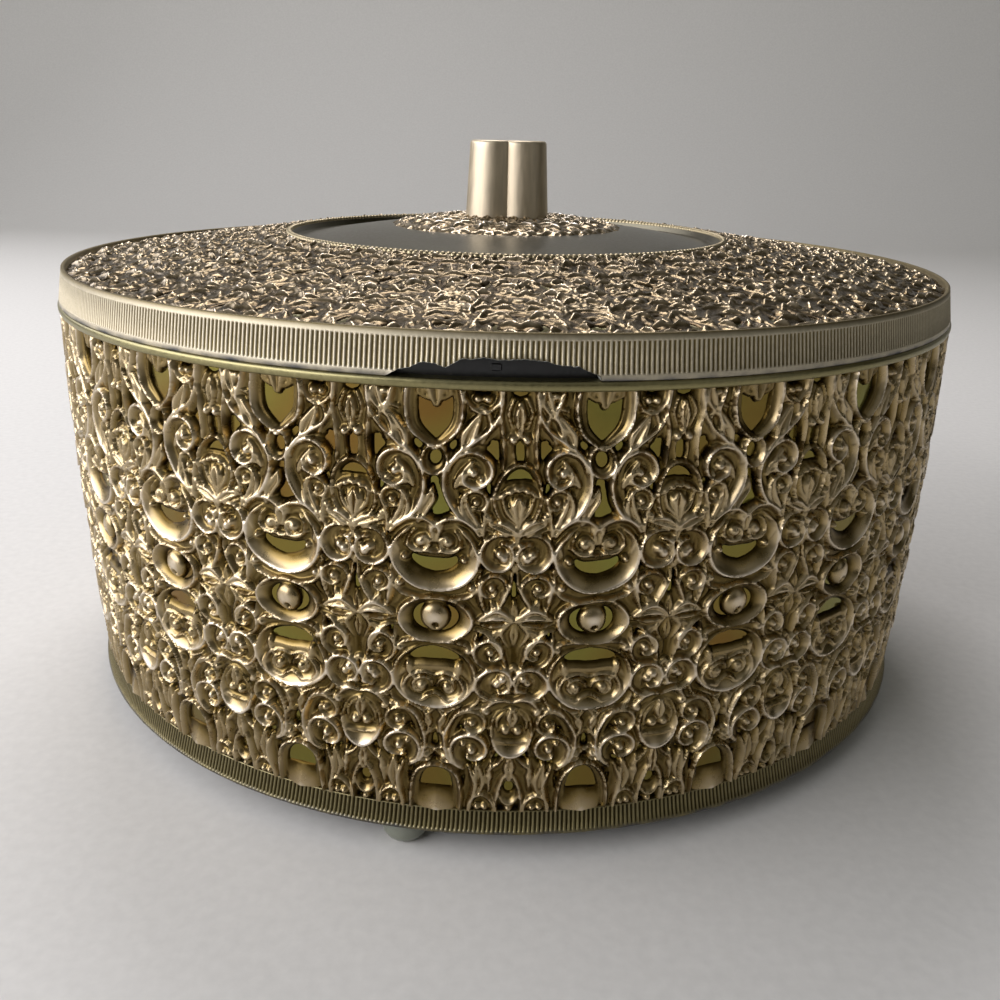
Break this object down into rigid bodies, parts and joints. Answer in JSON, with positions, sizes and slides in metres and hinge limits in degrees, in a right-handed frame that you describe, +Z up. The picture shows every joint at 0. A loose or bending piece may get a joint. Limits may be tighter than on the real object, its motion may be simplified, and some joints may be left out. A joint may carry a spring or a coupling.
{
  "type": "sewing box",
  "caption": "Round sewing box with a gilt filigree side and lid, a lobed knob, a lift-off lid and a lift-out tray with spool pegs.",
  "frame": {"origin": "middle of the table plane under the feet", "axes": "+Z up, -Y towards the front, where the lid band's edge is broken and the tub's lug sits, +X to the right seen from the front"},
  "size_m": [0.259, 0.259, 0.1552],
  "materials": {
    "gilt_relief": "satin gilt metallising over moulded relief",
    "gilt_satin": "satin gilt metallising",
    "gilt_mirror": "bright gilt metallised film",
    "black_styrene": "moulded black polystyrene, semi-gloss",
    "ivory_styrene": "moulded ivory polystyrene, gloss",
    "bright_steel": "zinc-plated steel"
  },
  "bodies": {
    "box": {"base_plate": "black_styrene", "base_band": "gilt_satin", "inner_tub": "black_styrene", "mirror_sleeve": "gilt_mirror", "side_filigree": "gilt_relief", "body_rim_band": "gilt_satin", "foot_screws": "bright_steel", "foot_1": "gilt_satin", "foot_2": "gilt_satin", "foot_3": "gilt_satin", "foot_4": "gilt_satin"},
    "tray": {"tray": "ivory_styrene", "tray_handle": "ivory_styrene", "tray_handle_screw": "bright_steel", "spool_peg_1": "ivory_styrene", "spool_peg_2": "ivory_styrene", "spool_peg_3": "ivory_styrene", "spool_peg_4": "ivory_styrene", "spool_peg_5": "ivory_styrene", "spool_peg_6": "ivory_styrene"},
    "lid": {"lid_band": "gilt_satin", "lid_shell": "black_styrene", "lid_mirror": "gilt_mirror", "lid_filigree": "gilt_relief", "bead_ring": "gilt_satin", "well_dish": "gilt_satin", "dome_mirror": "gilt_mirror", "dome_filigree": "gilt_relief", "knob": "gilt_satin", "knob_screw": "bright_steel", "knob_washer": "bright_steel"}
  },
  "joints": [
    {"name": "lid_lift", "type": "slide", "parent": "box", "child": "lid", "axis": [0, 0, 1], "range_m": [0, 0.18]},
    {"name": "tray_lift", "type": "slide", "parent": "box", "child": "tray", "axis": [0, 0, 1], "range_m": [0, 0.09]}
  ],
  "couplings": [
    {"joint": "tray_lift", "follows": "lid_lift", "ratio": 0.5}
  ]
}
